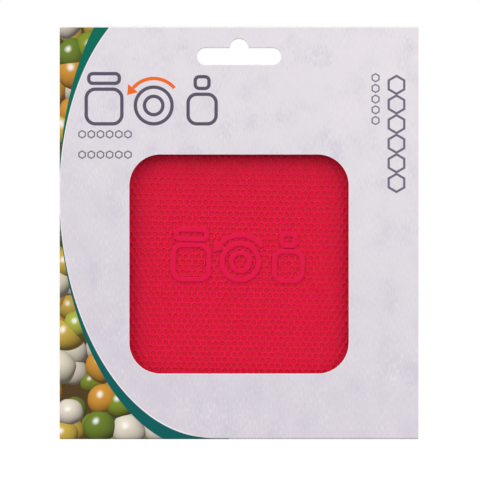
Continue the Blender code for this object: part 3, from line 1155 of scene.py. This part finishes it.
glue, shader, (x, _, z) = new_finish("dried_glue")
pulled = x.noise(x / PULL_SIZE[0], z / PULL_SIZE[1], 3.0, 1.0)
bubbles = x.noise(x / BUBBLE_SIZE, z / BUBBLE_SIZE, 1.0, 8.0)
connect((pulled.ramp(0.3, 0.7) * 0.8).mix(GLUE_PALE, GLUE_DARK), shader, "Base Color")
connect(0.22 + bubbles * 0.3, shader, "Roughness")
connect(pulled.bump(0.4, PULL_HEIGHT), shader, "Normal")
for node in ("glue_strip_left", "glue_strip_right"):
    frame["nodes"][node].material_slots[0].material = glue
print("glue on both strips")

# %% [markdown]
# ## Light
#
# The lamps are suns with wide soft discs, so the light is the same all over the floor. Two stand high in
# front, to the left and to the right, because the window's upper edge and both its sides throw a soft shadow
# on the pad, and one behind lights the back. Together with the world they light the front of the pack to just
# about full white.

# %% Lamps
WORLD_LIGHT = 0.3
LAMPS = {  # azimuth from the front, elevation, spread in degrees, and share of full light when square on
    "left": (-55, 33, 60, 0.67),
    "right": (52, 36, 60, 0.57),
    "rear": (160, 20, 50, 0.42),
}


def away(azimuth, elevation):
    """Unit vector from the pack to an azimuth, turned to the right from the front, and an elevation."""
    turn, rise = math.radians(azimuth), math.radians(elevation)
    return np.array([math.sin(turn) * math.cos(rise), -math.cos(turn) * math.cos(rise), math.sin(rise)])


def make_sun(name, azimuth, elevation, spread, share):
    """A soft sun. A strength of pi lights a white surface that faces it to full white."""
    data = bpy.data.lights.new(name, "SUN")
    data.angle = math.radians(spread)
    data.energy = math.pi * share
    made = bpy.data.objects.new(name, data)
    bpy.context.scene.collection.objects.link(made)
    made.location = away(azimuth, elevation)
    made.rotation_euler = (math.radians(90 - elevation), 0, math.radians(azimuth))


for name, values in LAMPS.items():
    make_sun(name, *values)
front_share = sum(share * max(0, -away(azimuth, rise)[1]) for azimuth, rise, _, share in LAMPS.values())
print("suns' share of full light on the pack's front:", round(front_share, 2))

# %% [markdown]
# ## White ground
#
# The photograph has a plain white ground, and more light would burn out the card before a grey floor turned
# white. So the world is white to the camera and to reflections, and dimmer as a light. The pack hangs, and
# the floor lies as far below it as the sleeve reaches when it is unfolded to a flat strip. It reflects less
# than half the light, and for the camera it glows with what is missing to white, so the pack's soft shadow
# still shows on it.

# %% Floor and world
FLOOR_GAP = 6.0  # left under the unfolded sleeve
FLOOR_HALF = 3000.0
FLOOR_COLOUR = 0.45
FLOOR_EXCESS = 0.03


def seen_directly(tree):
    """One for rays from the camera, off something glossy or through glass, and zero for the rest."""
    path = tree.nodes.new("ShaderNodeLightPath")
    camera_ray, glossy, glass = (Wire(tree, path.outputs[f"Is {kind} Ray"]) for kind in
                                 ("Camera", "Glossy", "Transmission"))
    return camera_ray.most(glossy).most(glass)


def make_floor():
    """A large grey plane that glows for the camera with what its reflected light lacks to white."""
    grid = np.array([(-1, -1), (1, -1), (1, 1), (-1, 1)]) * FLOOR_HALF
    strip = np.linalg.norm(np.diff(turns, axis=0), axis=1).sum()  # from the front fold to the header's
    level = turns[0][1] - strip - FLOOR_GAP
    mesh = new_mesh("floor", np.column_stack([grid, np.full(4, level)]), [np.array([[0, 1, 2, 3]])])
    finish, shader, _ = new_finish("floor_white", **{
        "Base Color": (FLOOR_COLOUR, FLOOR_COLOUR, FLOOR_COLOUR, 1),
        "Roughness": 1.0,
        "Specular IOR Level": 0.0,
        "Emission Strength": 1.0,
    })
    lit = WORLD_LIGHT + sum(share * away(azimuth, rise)[2] for azimuth, rise, _, share in LAMPS.values())
    missing = 1 + FLOOR_EXCESS - FLOOR_COLOUR * lit
    glow = seen_directly(finish.node_tree).mix((0, 0, 0, 1), (missing, missing, missing, 1))
    connect(glow, shader, "Emission Color")
    mesh.materials.append(finish)
    floor = bpy.data.objects.new("floor", mesh)
    bpy.context.scene.collection.objects.link(floor)
    print("floor at", round(level, 1), "mm, glow", round(missing, 2))


def make_world():
    """White where the camera, a reflection or glass looks, and dimmer as a light."""
    world = bpy.data.worlds.new("studio")
    bpy.context.scene.world = world
    world.use_nodes = True
    tree = world.node_tree
    dim = (WORLD_LIGHT, WORLD_LIGHT, WORLD_LIGHT, 1)
    connect(seen_directly(tree).mix(dim, (1, 1, 1, 1)), tree.nodes["Background"], "Color")
    print("world gives", WORLD_LIGHT, "of full light")


make_floor()
make_world()
bpy.context.scene.view_settings.view_transform = "Standard"
